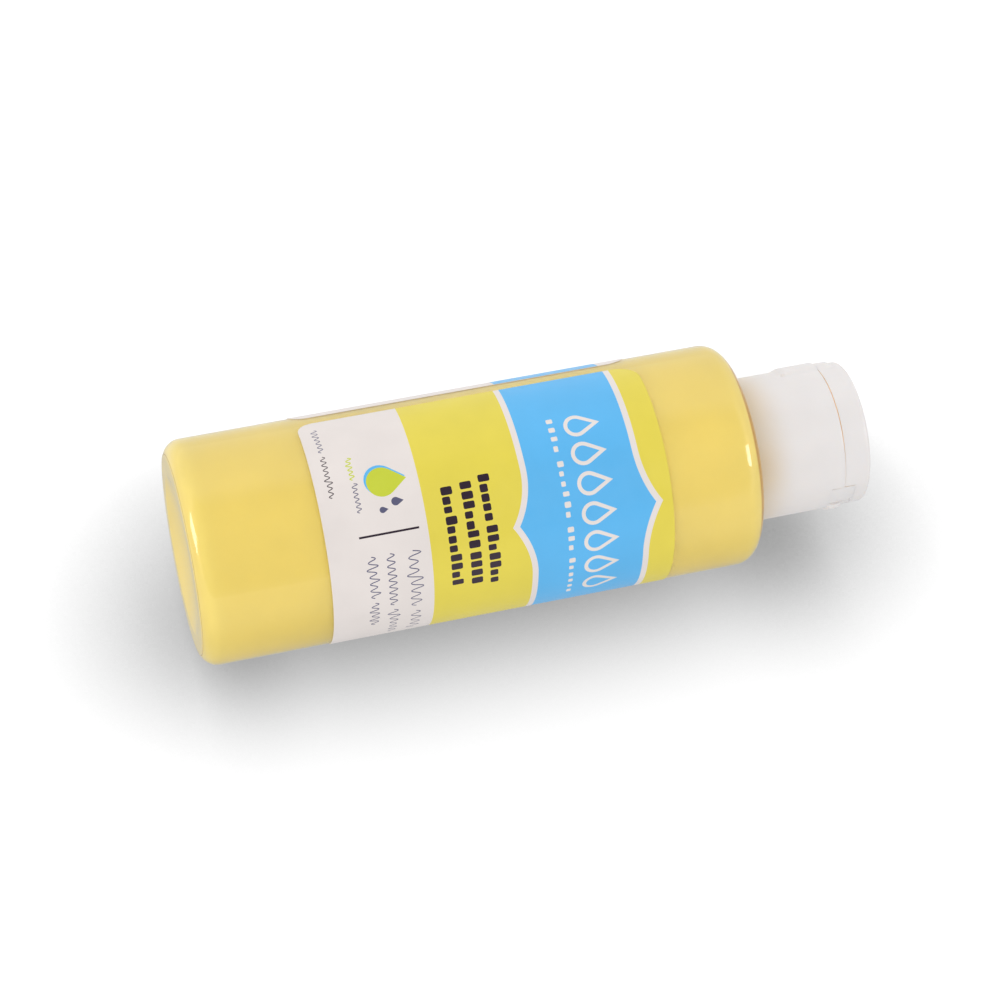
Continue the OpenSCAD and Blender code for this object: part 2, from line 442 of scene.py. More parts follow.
def panel_edge(z, side, grow=0.0):
    """One long edge of the blue panel: straight, with a pointed cusp in its middle made of two arcs.

    side is 1 for the edge near the cap and -1 for the other; grow moves the edge into the panel.
    """
    reach, rise = 10.0, 3.0
    arc_r = (reach ** 2 + rise ** 2) / (2 * rise)
    right = []
    for x in steps_between(0, reach, 0.5):
        past = arc_r - math.sqrt((arc_r + grow) ** 2 - (reach - x) ** 2)
        right.append((x, z + side * past))
    right.append((ART_HALF, z - side * grow))
    return [(-x, height) for x, height in right[:0:-1]] + right


def panel(grow=0.0):
    """The outline of the blue panel's white border, or, with grow, of the panel within it."""
    return panel_edge(PANEL_LOW, -1, grow) + panel_edge(PANEL_HIGH, 1, grow)[::-1]


def drop(x, z, width, height):
    """A paint drop with its tip up; (x, z) is the middle of its foot."""
    r = width / 2
    cz = z + r
    tip = height - r
    lean = math.asin(r / tip)
    turns = steps_between(math.pi - lean, 2 * math.pi + lean, math.pi / 14)
    return [(x + r * math.cos(a), cz + r * math.sin(a)) for a in turns] + [(x, z + height)]


def scribble(dice, x0, x1, z, tall, period, pen):
    """A fine uneven wavy line that stands for a word of small print."""
    halves = 2 * max(1, round((x1 - x0) / period))
    heights = [tall / 2 * (1.5 if dice.random() < 0.2 else dice.uniform(0.8, 1.05)) for _ in range(halves)]
    stretch = (x1 - x0) / halves
    middle = []
    for t in steps_between(0, halves - 0.001, 0.17):
        rise = heights[int(t)] * math.sin(math.pi * t)
        middle.append(Vector((x0 + stretch * t, z + tall / 2 + rise)))
    upper, lower = [], []
    for i, here in enumerate(middle):
        along = middle[min(i + 1, len(middle) - 1)] - middle[max(i - 1, 0)]
        normal = Vector((-along.y, along.x)).normalized() * pen / 2
        upper.append(tuple(here + normal))
        lower.append(tuple(here - normal))
    return lower + upper[::-1]


def print_line(dice, x0, x1, z, words, tall, gap):
    """Solid blocks the size of letters, in words of the given lengths, that stand for bold print."""
    space = 2.2 * gap
    letters = sum(words)
    width = (x1 - x0 - gap * (letters - len(words)) - space * (len(words) - 1)) / letters
    blocks, x = [], x0
    for word in words:
        for place in range(word):
            high = tall if place == 0 or dice.random() < 0.3 else tall * 0.7
            wide = width * dice.uniform(0.86, 1.14)
            blocks.append(oblong(x, z, x + wide, z + high, min(wide, high) * 0.22))
            x += width + gap
        x += space - gap
    return blocks


def words_of(ink, dice, *lines):
    """Lines of bold print in one ink, as (shape, ink)."""
    return [(block, ink) for line in lines for block in print_line(dice, *line)]


def front_art():
    """The front label's artwork as (shape, ink), each shape printed over the ones before it."""
    dice = random.Random(4)
    art = [
        (oblong(-ART_HALF, LIME_Z, ART_HALF, LABEL_HIGH + 5), "lime"),
        (panel(), "white"), (panel(PANEL_BORDER), "blue"),
    ]
    for k in range(-3, 4):
        art.append((drop(5.4 * k, 68.5, 4.3, 6.5), "white"))
        art.append((drop(5.4 * k, 69.2, 2.9, 4.5), "blue"))
    art += words_of("white", dice, (-18.4, 18.2, 65.7, (4, 6, 3, 6), 1.15, 0.85))
    art += words_of(
        "dark", dice,
        (-10.4, 10.4, 51.3, (5, 7), 2.05, 0.42), (-9.7, 9.7, 47.9, (7, 4), 2.05, 0.42),
        (-9.4, 9.4, 44.4, (11,), 2.05, 0.42),
    )
    art.append((oblong(-3.5, 28.9, -3.12, 39.6), "dark"))
    for x0, x1, z, tall, period, pen, ink in (
        (0.6, 12.6, 36.9, 1.9, 1.75, 0.2, "slate"), (14.2, 21.6, 36.9, 1.9, 1.75, 0.2, "slate"),
        (0.4, 11.3, 33.1, 1.5, 1.45, 0.2, "slate"), (12.6, 22.0, 33.1, 1.5, 1.45, 0.2, "slate"),
        (0.4, 8.8, 29.8, 1.4, 1.35, 0.2, "slate"), (10.0, 16.4, 29.8, 1.4, 1.35, 0.2, "slate"),
        (-26.4, -20.2, 25.3, 0.9, 1.0, 0.16, "slate"), (-19.2, -11.0, 25.2, 0.9, 1.0, 0.16, "dark"),
        (-18.0, -13.6, 29.4, 0.85, 0.95, 0.2, "green"), (-12.9, -7.6, 29.4, 0.85, 0.95, 0.15, "slate"),
    ):
        art.append((scribble(dice, x0, x1, z, tall, period, pen), ink))
    for x, z, width, height, ink in (
        (-12.75, 31.6, 5.6, 7.3, "blue"), (-12.35, 31.95, 5.4, 7.1, "green"),
        (-8.5, 35.6, 1.5, 2.2, "slate"), (-7.4, 33.3, 1.1, 1.6, "slate"),
    ):
        art.append((drop(x, z, width, height), ink))
    return art


def back_art():
    """The back label's artwork: a blue band, and blocks of small print."""
    dice = random.Random(9)
    art = [(oblong(-ART_HALF, 60.1, ART_HALF, 79.5), "blue")]
    for row in range(3):
        end = 22 - 6 * (row % 2)
        art += words_of("white", dice, (-22, end, 73.5 - 4 * row, (6, 4, 7, 5, 6), 1.3, 0.55))
    for column in (-26.0, 1.5):
        for row in range(9):
            end = column + dice.uniform(19, 24.5)
            middle = column + (end - column) * dice.uniform(0.35, 0.6)
            z = 55.6 - 3.3 * row
            art.append((scribble(dice, column, middle, z, 0.8, 1.0, 0.15), "slate"))
            art.append((scribble(dice, middle + 1.1, end, z, 0.8, 1.0, 0.15), "slate"))
    return art


def cut_film(arc, shapes):
    """The label's flat face cut along the edges of its shapes, and along its bends around the bottle.

    Returns its points, and its faces as (corners, number of the shape that shows there).
    """
    points, polygons, cuts = [], [], []
    for shape in shapes:
        polygons.append(list(range(len(points), len(points) + len(shape))))
        points += [Vector(p) for p in shape]
    for degrees in steps_between(-arc / 2, arc / 2, 2)[1:-1]:
        x = math.radians(degrees) * LABEL_R
        cuts.append((len(points), len(points) + 1))
        points += [Vector((x, LABEL_LOW - 1)), Vector((x, LABEL_HIGH + 1))]
    flat, _, faces, _, _, sources = delaunay_2d_cdt(points, cuts, polygons, 0, 1e-5)
    return flat, [(tuple(face), max(found)) for face, found in zip(faces, sources) if 0 in found]


def make_label(name, mid, arc, art):
    """A printed film: one mesh, cut along the edges of its artwork and wrapped around the bottle."""
    shapes = [(label_outline(arc), "white")] + art
    flat, cut = cut_film(arc, [shape for shape, _ in shapes])
    verts = []
    for r in (LABEL_R, LABEL_R - LABEL_T):
        verts += [circle_point(r, mid + math.degrees(p.x / LABEL_R), p.y) * MM for p in flat]
    under = len(flat)
    front = [face for face, _ in cut]
    back = [tuple(v + under for v in reversed(face)) for face in front]
    edges = [edge for face in front for edge in zip(face, face[1:] + face[:1])]
    inner = set(edges)
    rim = [(b, a, a + under, b + under) for a, b in edges if (b, a) not in inner]
    ink_names = list(INKS)
    inks = [ink_names.index(shapes[shape][1]) for _, shape in cut]
    inks += [ink_names.index("white")] * (len(back) + len(rim))
    mesh = bpy.data.meshes.new(name)
    mesh.from_pydata(verts, [], front + back + rim)
    mesh.polygons.foreach_set("material_index", inks)
    work = bmesh.new()
    work.from_mesh(mesh)
    bmesh.ops.delete(work, geom=[v for v in work.verts if not v.link_faces], context="VERTS")
    work.to_mesh(mesh)
    work.free()
    return smooth_piece(name, mesh)


# Cap, seal and lid

def cap_angles():
    """Angles of the cap and lid, closer together at the slits, the pad's two ends and the dimple."""
    ends = (POCKET_HALF - 0.1, POCKET_HALF + 0.1, STRAP_TO - 0.3, STRAP_TO - 0.1)
    slits = [HINGE_DIR + side * end for side in (-1, 1) for end in ends]
    pad = [THUMB_DIR + side * (PAD_HALF + off) for side in (-1, 1) for off in range(-4, 2)]
    dimple = [THUMB_DIR + PAD_HALF + off for off in steps_between(-3, 3, 0.5)]
    return turn(extra=slits + pad + dimple)


def pocket_floor(r, degrees):
    """Radius of the hinge pocket's floor at an angle: deep, with a shallow groove at both ends."""
    away = abs(angle_from(degrees, HINGE_DIR))
    if away > POCKET_HALF:
        return r
    return min(r, POCKET_R) if away < STRAP_TO - 0.2 else r - SLIT_DEPTH


def pad_share(degrees):
    """How much of the thumb pad stands at an angle: 1 on it, easing to 0 just past its ends."""
    return smooth((PAD_HALF + PAD_OUTRUN - abs(angle_from(degrees, THUMB_DIR))) / PAD_EASE)


def cap_warp(r, z, degrees):
    """Adds the thumb pad, its dimple, the hinge pocket and the thread to the round cap."""
    if abs(r - SKIRT_IN_R) < 1e-6 and z < DECK_Z - 1:
        return r - (SKIRT_IN_R - CAP_THREAD_R) * thread_height(z, degrees, **CAP_THREAD), z
    if r > CAP_R - 0.7:
        r += PAD_PROUD * pad_share(degrees) * smooth((z - PAD_Z) / PAD_SLOPE)
        across = math.radians(angle_from(degrees, THUMB_DIR + PAD_HALF)) * CAP_R
        off = math.hypot(across, z - PAD_Z - PAD_SLOPE / 2)
        r -= DIMPLE_DEPTH * smooth(1 - off / DIMPLE_R)
        if z > POCKET_LOW:
            r = pocket_floor(r, degrees)
    return r, z


def make_cap():
    """The screw cap: up its side, over the collar and the spout, and down the threaded skirt."""
    side = steps_between(SKIRT_Z + 1, PAD_Z - 0.4, 2)
    side += steps_between(PAD_Z - 0.2, PAD_Z + PAD_SLOPE + 0.2, 0.15)
    side += [SEAM_Z - 4, POCKET_LOW - 0.02, POCKET_LOW + 0.02, SEAM_Z - 0.8]
    inside = [(SKIRT_IN_R, z, 0) for z in steps_between(DECK_Z - 1.2, SKIRT_Z + 4, THREAD_STEP)]
    collar_in = COLLAR_R - COLLAR_T
    collar_z = SEAM_Z + COLLAR_H
    outline = rounded(
        [(CAP_R, SKIRT_Z, 0.3)] + [(CAP_R, z, 0) for z in side]
        + [(CAP_R, SEAM_Z, 0.08), (LID_R - 0.2, SEAM_Z, 0), (COLLAR_R, SEAM_Z, 0.1)]
        + [(COLLAR_R, collar_z, 0.25), (collar_in, collar_z, 0.25)]
        + [(collar_in, SEAM_Z, 0.3), (SPOUT_R, SEAM_Z, 0.6)]
        + [(SPOUT_R, SEAM_Z + SPOUT_H, 0.45), (ORIFICE_R, SEAM_Z + SPOUT_H, 0.3)]
        + [(ORIFICE_R, DECK_Z, 0.25), (SKIRT_IN_R, DECK_Z, 0.4)] + inside
        + [(SKIRT_IN_R, SKIRT_Z, 0.25)],
        closed=True,
    )
    return lathe("screw_cap", outline, cap_angles(), cap_warp, closed=True)


def lid_warp(r, z, degrees):
    """Adds the lip over the thumb pad and the hinge pocket to the round lid.

    The gap below the lid closes up towards the hinge.
    """
    if z < LID_Z + 0.2:
        sunk = LID_DROP * smooth((105 - abs(angle_from(degrees, HINGE_DIR))) / 50)
        z = max(z - sunk, SEAM_Z + CLOSED_GAP)
    if r > LID_R - 0.8:
        r += LIP_PROUD * pad_share(degrees) * smooth((LID_Z + LIP_H - z) / 0.6)
        if z < POCKET_HIGH:
            r = pocket_floor(r, degrees)
    return r, z


def make_lid():
    """The lid: from its pin's tip, along its inside, over the gap at the seam and up its side."""
    side = [POCKET_HIGH - 0.02, POCKET_HIGH + 0.02]
    side += steps_between(LID_Z + LIP_H - 0.8, LID_Z + LIP_H + 0.2, 0.2)
    inside_top = LID_TOP - LID_T
    low = SEAM_Z + CLOSED_GAP
    outline = rounded(
        [(0, PLUG_TIP_Z, 0), (PLUG_R - 0.25, PLUG_TIP_Z, 0.2), (PLUG_R, PLUG_TIP_Z + 0.5, 0)]
        + [(PLUG_R, inside_top, 0.4), (LID_IN_R, inside_top, 0.5)]
        + [(LID_IN_R, low, 0), (LID_R - GROOVE, low, 0)]
        + [(LID_R - GROOVE, LID_Z, 0), (LID_R, LID_Z, 0.06)] + [(LID_R, z, 0) for z in side]
        + [(LID_R, LID_TOP, 0.7), (LID_R - 2.2, LID_TOP, 0), (0, LID_TOP, 0)]
    )
    return lathe("flip_top", outline, cap_angles(), lid_warp)


def stain(piece):
    """Gives the faces in the seam and in the hinge's end slits the second material of their piece."""
    for face in piece.data.polygons:
        middle = face.center / MM
        r = math.hypot(middle.x, middle.y)
        degrees = math.degrees(math.atan2(middle.y, middle.x))
        in_seam = SEAM_Z - 0.05 < middle.z < LID_Z + 0.05 and LID_R - 0.2 < r < LID_R - 0.02
        away = abs(angle_from(degrees, HINGE_DIR))
        beside_strap = STRAP_TO - 0.1 < away < POCKET_HALF + 0.15
        in_slit = beside_strap and POCKET_LOW < middle.z < POCKET_HIGH and r > POCKET_R - 0.1
        if in_seam or in_slit:
            face.material_index = 1


def make_seal():
    """The soft ring between the neck's rim and the deck, as wide as its CAD node."""
    low, high = corner("cap_liner", False), corner("cap_liner", True)
    inner = BORE_R - 1.2
    outline = rounded(
        [(high.x, low.z, 0.2), (high.x, high.z, 0.2), (inner, high.z, 0.2), (inner, low.z, 0.2)],
        closed=True,
    )
    return lathe("seal_ring", outline, turn(3), closed=True)


# Hinge: a thin web and two straps between the cap and the lid

def ribbon(name, rows, from_angle, to_angle, thin_ends=0.0):
    """A curved strip: rows are (inner r, outer r, z), and thin_ends takes off its outside at the ends."""
    angles = steps_between(from_angle, to_angle, RIBBON_TURN_STEP)
    mid = (from_angle + to_angle) / 2
    half = (to_angle - from_angle) / 2
    verts = []
    for inner, outer, z in rows:
        for degrees in angles:
            edge = 1 - smooth((1 - abs(degrees - mid) / half) * 3)
            verts.append(circle_point(inner, degrees, z))
            verts.append(circle_point(max(inner + 0.1, outer - thin_ends * edge), degrees, z))
    across = 2 * len(angles)
    faces = []
    for row in range(len(rows) - 1):
        for i in range(len(angles) - 1):
            a = row * across + 2 * i
            faces.append((a + 1, a + 3, a + 3 + across, a + 1 + across))
            faces.append((a, a + across, a + 2 + across, a + 2))
        for a in (row * across, row * across + across - 2):
            faces.append((a, a + 1, a + 1 + across, a + across))
    for start in (0, (len(rows) - 1) * across):
        for i in range(len(angles) - 1):
            a = start + 2 * i
            faces.append((a, a + 2, a + 3, a + 1))
    return add_mesh(name, verts, faces, sharp=50)


def hinge_row(z, from_z, rise, swell=0.0):
    """A row of a hinge strip, flush with the cap at from_z and with the lid a rise above it."""
    flush = CAP_R - 0.02 - (CAP_R - LID_R) * smooth((z - from_z) / rise)
    return POCKET_R + 0.05, flush + swell, z


def make_web():
    """The web's outside swells over the seam, and its inside is open behind the bend."""
    rows = []
    for z in steps_between(HINGE_LOW, HINGE_HIGH, 0.12):
        swell = smooth(z - POCKET_LOW) * smooth((SEAM_Z + 1.5 - z) / 1.9)
        rows.append(hinge_row(z, SEAM_Z, 1.5, WEB_PROUD * swell))
    return ribbon("hinge_middle", rows, HINGE_DIR - WEB_HALF, HINGE_DIR + WEB_HALF, 0.3)


def make_strap(name, side):
    """A strap, flush with the cap at its low end and with the lid at its high end."""
    rows = [
        hinge_row(z, HINGE_LOW, HINGE_HIGH - HINGE_LOW)
        for z in steps_between(HINGE_LOW, HINGE_HIGH, 0.15)
    ]
    ends = sorted(HINGE_DIR + side * a for a in (STRAP_FROM, STRAP_TO))
    return ribbon(name, rows, *ends, 0.05)


# Node trees: values are given as numbers or as other nodes' outputs

def feed(tree, socket, value):
    """Gives a socket a fixed value, or links another node's output to it."""
    if isinstance(value, bpy.types.NodeSocket):
        tree.links.new(value, socket)
    else:
        socket.default_value = value


def add_node(tree, kind, **values):
    """A new node with values for its sockets, named with _ for each space."""
    node = tree.nodes.new("ShaderNode" + kind)
    for name, value in values.items():
        feed(tree, node.inputs[name.replace("_", " ")], value)
    return node


def compute(tree, operation, *values, kind="Math", result="Value"):
    """The result of a Math or VectorMath node."""
    node = tree.nodes.new("ShaderNode" + kind)
    node.operation = operation
    for socket, value in zip(node.inputs, values):
        feed(tree, socket, value)
    return node.outputs[result]


def ease(tree, source, low, high, at_low=0.0, at_high=1.0, course="SMOOTHSTEP"):
    """A value that runs from at_low to at_high as the source runs from low to high."""
    node = add_node(
        tree, "MapRange", Value=source, From_Min=low, From_Max=high, To_Min=at_low, To_Max=at_high
    )
    node.interpolation_type = course
    return node.outputs["Result"]


def choose(tree, share, low, high):
    """Mixes two values by a share."""
    return add_node(tree, "Mix", Factor=share, A=low, B=high).outputs["Result"]


def show_mix(tree, share, first, second):
    """Makes a mix of two shaders, by a share, the surface of a material."""
    node = add_node(tree, "MixShader", Fac=share)
    tree.links.new(first, node.inputs[1])
    tree.links.new(second, node.inputs[2])
    tree.links.new(node.outputs["Shader"], tree.nodes["Material Output"].inputs["Surface"])


def place_on_object(tree):
    """A point's place in its object's own coordinates, in metres."""
    return add_node(tree, "TexCoord").outputs["Object"]


def height_on_object(tree):
    """A point's height, in metres."""
    return add_node(tree, "SeparateXYZ", Vector=place_on_object(tree)).outputs["Z"]


def distance_from_axis(tree):
    """A point's distance from the bottle's axis, in metres."""
    level = compute(
        tree, "MULTIPLY", place_on_object(tree), (1, 1, 0), kind="VectorMath", result="Vector"
    )
    return compute(tree, "LENGTH", level, kind="VectorMath")


def noise(tree, scale, detail=2.0, stretch=(1, 1, 1)):
    """A noise pattern fixed to the object, scale in lumps per metre."""
    mapping = add_node(tree, "Mapping", Vector=place_on_object(tree), Scale=stretch)
    vector = mapping.outputs["Vector"]
    return add_node(tree, "TexNoise", Vector=vector, Scale=scale, Detail=detail).outputs["Fac"]


def spread(tree, pattern, low, high):
    """A noise pattern's values, mapped to run from low to high."""
    return ease(tree, pattern, *NOISE_RANGE, low, high, course="LINEAR")


def relief(tree, pattern, depth):
    """Normals of a relief that follows a pattern, depth in millimetres."""
    return add_node(tree, "Bump", Height=pattern, Distance=depth * MM).outputs["Normal"]


def shaded(colour, factor):
    """A colour made darker or brighter by a factor."""
    return tuple(c * factor for c in colour[:3]) + (1.0,)


def mottled(tree, pattern, colour, dark, bright, limits=NOISE_RANGE):
    """A colour that drifts between a darker and a brighter share of itself along a pattern."""
    node = add_node(tree, "ValToRGB", Fac=pattern)
    for stop, place, share in zip(node.color_ramp.elements, limits, (dark, bright)):
        stop.position = place
        stop.color = shaded(colour, share)
    return node.outputs["Color"]


def tinted(tree, share, colour, tint):
    """A colour mixed towards a tint by a share."""
    return add_node(tree, "MixRGB", Fac=share, Color1=colour, Color2=tint).outputs["Color"]


# Materials

def tone(red, green, blue):
    """A colour from 0-255 display values to the linear values that shaders use."""
    def linear(c):
        c /= 255
        return c / 12.92 if c <= 0.04045 else ((c + 0.055) / 1.055) ** 2.4
    return (linear(red), linear(green), linear(blue), 1.0)


def set_shader(tree, **values):
    """Fixes or links values of the Principled shader."""
    for name, value in values.items():
        feed(tree, tree.nodes["Principled BSDF"].inputs[name.replace("_", " ")], value)


def new_material(name, **values):
    """A Principled material with fixed values on the shader's own sockets, and its node tree."""
    material = bpy.data.materials.new(name)
    material.use_nodes = True
    set_shader(material.node_tree, **values)
    return material, material.node_tree


def clear_plastic():
    """Clear wall: light passes straight through it to what is inside."""
    material, tree = new_material(
        "clear_plastic", Transmission_Weight=1.0, IOR=1.5, Base_Color=(1, 1, 1, 1)
    )
    wobble = noise(tree, 90, 1.0, (1, 1, 0.35))
    rough = spread(tree, noise(tree, 260), 0.02, 0.06)
    set_shader(tree, Roughness=rough, Normal=relief(tree, wobble, 0.02))
    is_shadow = add_node(tree, "LightPath").outputs["Is Shadow Ray"]
    wall = tree.nodes["Principled BSDF"].outputs["BSDF"]
    show_mix(tree, is_shadow, wall, add_node(tree, "BsdfTransparent").outputs["BSDF"])
    return material


def paint_material():
    """Opaque butter-yellow paint, with a soft ring of painted amber shade just inside the shoulder's round
    edge, where the cap shades it.
    """
    material, tree = new_material("paint", Roughness=0.4, Specular_IOR_Level=0.15)
    colour = mottled(tree, noise(tree, 70, 3.0), tone(253, 230, 127), 0.97, 1.02)
    radius = distance_from_axis(tree)
    outside = ease(tree, radius, AMBER_SHADE_OUT_R * MM, AMBER_SHADE_R * MM)
    inside = ease(tree, radius, AMBER_SHADE_IN_R * MM, AMBER_SHADE_R * MM)
    upper = ease(tree, height_on_object(tree), (SHOULDER_Z - 2.6) * MM, (SHOULDER_Z - 1.9) * MM)
    # Painted shade: this ring darkens the paint to amber beside the cap
    ring = compute(tree, "MULTIPLY", compute(tree, "MULTIPLY", outside, inside), upper)
    colour = tinted(tree, ring, colour, tone(206, 152, 26))
    set_shader(tree, Base_Color=colour, Normal=relief(tree, noise(tree, 400), 0.02))
    return material


def film_material(name, colour):
    """Printed film with faint unevenness of its ink, and a sheen that varies a little."""
    material, tree = new_material("film_" + name, Specular_IOR_Level=0.45)
    set_shader(
        tree, Base_Color=mottled(tree, noise(tree, 130, 4.0), colour, 0.97, 1.02),
        Roughness=spread(tree, noise(tree, 500, 3.0), 0.29, 0.41),
        Normal=relief(tree, noise(tree, 900), 0.006),
    )
    return material


def cap_material():
    """Satin polypropylene, a little translucent; its lower end is tinted unevenly warm with painted light
    from the yellow paint near it.
    """
    material, tree = new_material(
        "cap_white", Subsurface_Weight=0.35, Subsurface_Scale=0.0012, IOR=1.49,
        Subsurface_Radius=(1.0, 0.85, 0.7)
    )
    colour = mottled(tree, noise(tree, 160, 3.0), tone(232, 228, 227), 0.985, 1.01)
    # Painted light: a warm tint in uneven patches on the cap's lower end, for the yellow paint's light on
    # it
    painted_warm_end = ease(tree, height_on_object(tree), (SKIRT_Z + 8) * MM, (SKIRT_Z - 3) * MM)
    patches = spread(tree, noise(tree, 60, 1.0), 0.25, 1.0)
    share = compute(tree, "MULTIPLY", painted_warm_end, patches)
    set_shader(
        tree, Base_Color=tinted(tree, share, colour, tone(218, 192, 146)),
        Roughness=spread(tree, noise(tree, 700, 3.0), 0.36, 0.46),
        Normal=relief(tree, noise(tree, 2500), 0.008),
    )
    return material


def stain_material():
    """The cap's plastic where a film of dried paint has crept into a gap."""
    material, tree = new_material("cap_stain", Roughness=0.55, IOR=1.49)
    colour = mottled(tree, noise(tree, 300, 3.0), tone(250, 216, 164), 0.85, 1.05)
    set_shader(tree, Base_Color=colour, Normal=relief(tree, noise(tree, 1500), 0.02))
    return material


def line_material():
    """A darker, brownish colour along the crest of the mould's line."""
    material, tree = new_material("darkened_line", Roughness=0.7, Specular_IOR_Level=0.2)
    colour = mottled(tree, noise(tree, 180, 3.0), tone(186, 158, 112), 0.75, 1.25)
    set_shader(tree, Base_Color=colour, Normal=relief(tree, noise(tree, 1500), 0.01))
    return material


def foam_material():
    """The seal's foam: pale, with fine open cells."""
    material, tree = new_material("foam", Roughness=0.8, Specular_IOR_Level=0.2)
    cells = noise(tree, 3500, 1.0)
    colour = mottled(tree, cells, tone(224, 221, 213), 0.9, 1.0, limits=(0.35, 0.65))
    set_shader(tree, Base_Color=colour, Normal=relief(tree, cells, 0.06))
    return material


# Studio

def direction(degrees, rise=0.0):
    """A level direction around the bottle, tipped up by rise degrees."""
    up = math.radians(rise)
    return circle_point(math.cos(up), degrees, math.sin(up))


def camera_axes():
    """The camera's right, up and back directions."""
    side = direction(CAMERA_AZIMUTH)
    back = direction(CAMERA_AZIMUTH - 90, CAMERA_ELEVATION)
    rise = back.cross(side)
    roll = math.radians(CAMERA_ROLL)
    right = side * math.cos(roll) + rise * math.sin(roll)
    up = rise * math.cos(roll) - side * math.sin(roll)
    return right, up, back


def make_camera():
    """The camera, where the photographer's was."""
    data = bpy.data.cameras.new("camera")
    data.sensor_width = 36
    data.lens = CAMERA_LENS
    camera = add_object("camera", data)
    right, up, back = camera_axes()
    aim = direction(CAMERA_AZIMUTH) * AIM_ASIDE + Vector((0, 0, AIM_HEIGHT))
    place = (aim + back * CAMERA_DISTANCE) * MM
    camera.matrix_world = Matrix.Translation(place) @ Matrix((right, up, back)).transposed().to_4x4()
    bpy.context.scene.camera = camera


def make_lamp(kind, name, towards, distance=0.0):
    """A lamp in a direction from the bottle's middle, which it faces."""
    lamp = add_object(name, bpy.data.lights.new(name, kind))
    away = Vector(towards).normalized()
    middle = Vector((0, 0, AIM_HEIGHT))
    turned = away.to_track_quat("Z", "Y").to_matrix().to_4x4()
    lamp.matrix_world = Matrix.Translation((middle + away * distance) * MM) @ turned
    lamp.visible_camera = False
    return lamp


def make_soft_sun(name, towards, irradiance, degrees):
    """Soft light, as from a diffuser some degrees wide, which reflections don't show."""
    lamp = make_lamp("SUN", name, towards)
    lamp.data.energy = irradiance
    lamp.data.angle = math.radians(degrees)
    lamp.visible_glossy = False
    return lamp


def make_glint(name, towards, size, radiance):
    """A small square lamp that shows in reflections only."""
    lamp = make_lamp("AREA", name, towards, LAMP_DISTANCE)
    lamp.data.size = size * MM
    lamp.data.energy = radiance * math.pi * (size * MM) ** 2
    lamp.visible_diffuse = False
    return lamp


def make_lamps(wall):
    """A soft key above and behind, a soft fill low in front, and glints on the two round edges.

    The low glint is for the wall alone, because it would glare on the labels in a view from above.
    """
    over_floor = direction(FLOOR_DIR + 180)
    front = camera_axes()[2]
    from_base = Vector((0, 0, -1))
    make_soft_sun("lamp_key", over_floor - front * 0.6 + from_base * 0.35, KEY, KEY_SPREAD)
    make_soft_sun("lamp_fill", front - over_floor * 0.5 + from_base * 0.4, FILL, FILL_SPREAD)
    low_glint = make_glint("lamp_heel", (-0.26, -0.16, -0.94), 260, 8)
    lit = bpy.data.collections.new("lit_by_lamp_heel")
    lit.objects.link(wall)
    low_glint.light_linking.receiver_collection = lit
    make_glint("lamp_shoulder", (-0.13, -0.73, 0.67), 220, 9)


def make_world():
    """Even white surroundings. Reflections show the floor, and a room that is dark on one side.

    The limits of each change are cosines of the angle to a direction.
    """
    world = bpy.data.worlds.new("studio")
    bpy.context.scene.world = world
    world.use_nodes = True
    tree = world.node_tree
    place = add_node(tree, "TexCoord").outputs["Generated"]

    def along(axis):
        return compute(tree, "DOT_PRODUCT", place, axis, kind="VectorMath")

    down = along(direction(FLOOR_DIR))
    room = ease(tree, along(camera_axes()[2]), 0.42, 0.75, SHINE_ROOM, SHINE_DARK)
    ground = ease(tree, down, 0.45, 0.85, SHINE_FLOOR, SHINE_SHADE)
    shine = choose(tree, ease(tree, down, -0.02, 0.02), room, ground)
    ambient = ease(tree, down, -0.3, 0.5, AMBIENT, AMBIENT_LOW)
    path = add_node(tree, "LightPath").outputs
    reflected = compute(tree, "SUBTRACT", path["Is Glossy Ray"], path["Is Transmission Ray"])
    lit = choose(tree, compute(tree, "MAXIMUM", reflected, 0.0), ambient, shine)
    background = tree.nodes["Background"]
    background.inputs["Color"].default_value = (1, 1, 1, 1)
    feed(tree, background.inputs["Strength"], choose(tree, path["Is Camera Ray"], lit, BACKDROP))


def floor_material():
    """White light that the floor gives off itself, with painted shade where the bottle hides the sky
    around a fixed direction, and clear from behind.
    """
    material, tree = new_material("floor")
    tree.nodes.remove(tree.nodes["Principled BSDF"])
    light = (direction(FLOOR_DIR + 180) + camera_axes()[2] * 3).normalized()
    towards = add_node(tree, "CombineXYZ", X=light.x, Y=light.y, Z=light.z).outputs["Vector"]
    sky = add_node(tree, "AmbientOcclusion", Distance=SHADE_REACH * MM, Normal=towards)
    sky.samples = SHADE_SAMPLES
    # Painted shade: the occlusion is made deeper beyond the bottle's two ends
    off_middle = compute(tree, "SUBTRACT", height_on_object(tree), AIM_HEIGHT * MM)
    off_middle = compute(tree, "ABSOLUTE", off_middle)
    depth = ease(tree, off_middle, MIDDLE_TO * MM, ENDS_FROM * MM, SHADE_MIDDLE, SHADE_ENDS)
    hidden = compute(tree, "SUBTRACT", 1.0, sky.outputs["AO"])
    bright = compute(tree, "SUBTRACT", FLOOR_BRIGHT, compute(tree, "MULTIPLY", hidden, depth))
    bright = compute(tree, "MAXIMUM", bright, SHADE_LIMIT)
    front = add_node(tree, "Emission", Strength=bright).outputs["Emission"]
    behind = add_node(tree, "NewGeometry").outputs["Backfacing"]
    show_mix(tree, behind, front, add_node(tree, "BsdfTransparent").outputs["BSDF"])
    return material


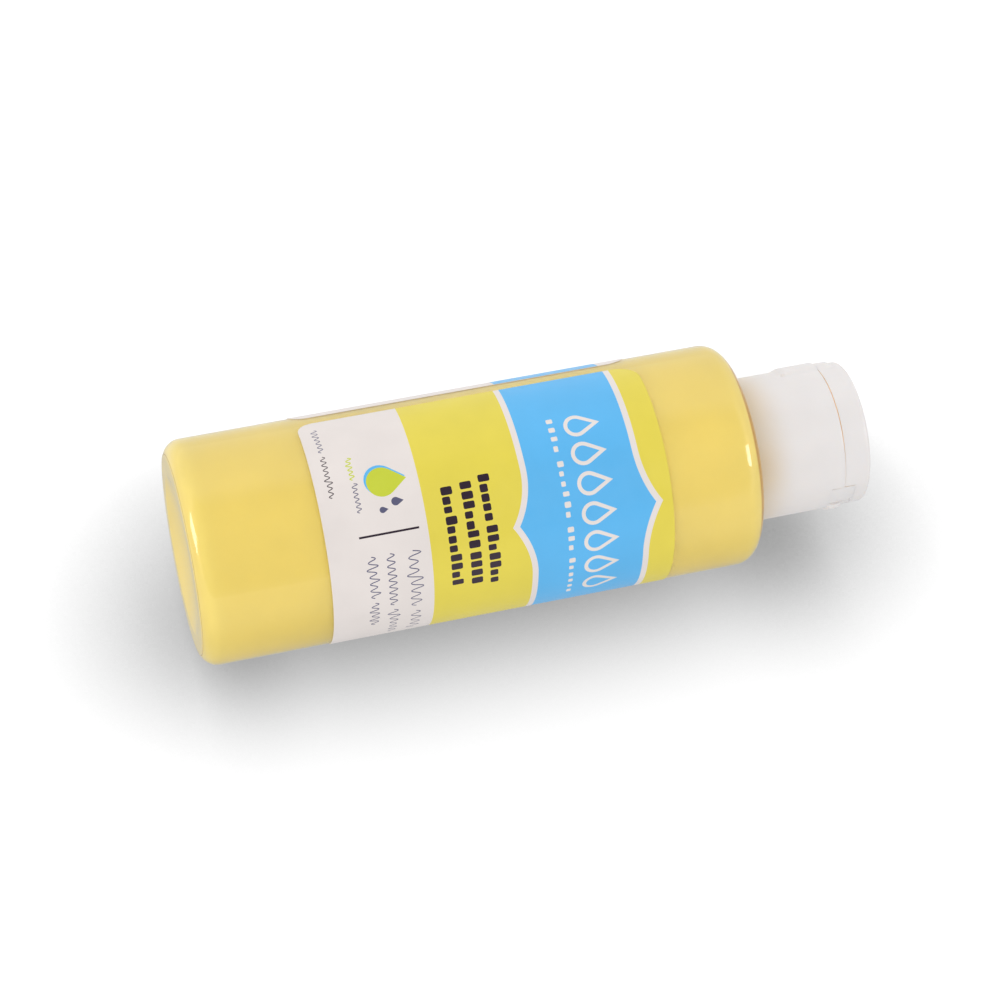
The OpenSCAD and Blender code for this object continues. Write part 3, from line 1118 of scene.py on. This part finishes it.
def make_floor():
    """The floor under the lying bottle. It glows with its painted shade, and casts no light."""
    along = direction(FLOOR_DIR + 90) * FLOOR_REACH
    up = Vector((0, 0, FLOOR_REACH))
    middle = direction(FLOOR_DIR) * (LABEL_R + FLOOR_GAP) + Vector((0, 0, AIM_HEIGHT))
    corners = ((-1, -1), (-1, 1), (1, 1), (1, -1))
    mesh = bpy.data.meshes.new("floor")
    mesh.from_pydata([(middle + along * a + up * b) * MM for a, b in corners], [], [(0, 1, 2, 3)])
    mesh.materials.append(floor_material())
    floor = add_object("floor", mesh)
    floor.visible_diffuse = False
    floor.visible_glossy = False
    floor.visible_transmission = False
    floor.visible_shadow = False


# Building

def dress(piece, slot, *materials):
    """Gives a piece its materials. The slot argument is not used."""
    for material in materials:
        piece.data.materials.append(material)


def build_bottle():
    """The bottle, its paint and its two labels. Returns the bottle's wall."""
    wall = make_bottle()
    dress(wall, "clear_plastic", clear_plastic(), line_material())
    mark_parting_line(wall)
    paint = make_paint()
    dress(paint, "paint", paint_material())
    films = [film_material(ink, tone(*colour)) for ink, colour in INKS.items()]
    front = make_label("label_front", FRONT_MID, FRONT_ARC, front_art())
    dress(front, "front_film", *films)
    back = make_label("label_back", BACK_MID, BACK_ARC, back_art())
    dress(back, "back_film", *films)
    for piece, node in (
        (wall, "bottle"), (paint, "paint_fill"), (front, "front_label"), (back, "back_label")
    ):
        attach(piece, "bottle")
        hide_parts(node)
    for film in (front, back):
        film.visible_shadow = False
    return wall


def build_closure():
    """The seal, the cap, its lid, and the hinge's three strips between them."""
    white = cap_material()
    seal = make_seal()
    dress(seal, "foam", foam_material())
    cap = make_cap()
    lid = make_lid()
    web = make_web()
    left = make_strap("hinge_left", -1)
    right = make_strap("hinge_right", 1)
    stained = stain_material()
    for piece in (cap, lid):
        dress(piece, "cap_white", white, stained)
        stain(piece)
    for piece in (web, left, right):
        dress(piece, "cap_white", white)
    for piece, body, node in (
        (seal, "liner", "cap_liner"), (cap, "cap", "cap_body"), (lid, "lid", "flip_lid")
    ):
        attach(piece, body)
        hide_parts(node)
    for piece, node, low, high in (
        (web, "hinge_web", SEAM_Z - 0.5, SEAM_Z + 0.8),
        (left, "hinge_strap_left", POCKET_LOW + 0.5, POCKET_HIGH - 0.5),
        (right, "hinge_strap_right", POCKET_LOW + 0.5, POCKET_HIGH - 0.5),
    ):
        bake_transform(piece)
        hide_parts(node)


make_camera()
make_world()
make_lamps(build_bottle())
make_floor()
build_closure()
bpy.context.scene.view_settings.view_transform = "Standard"
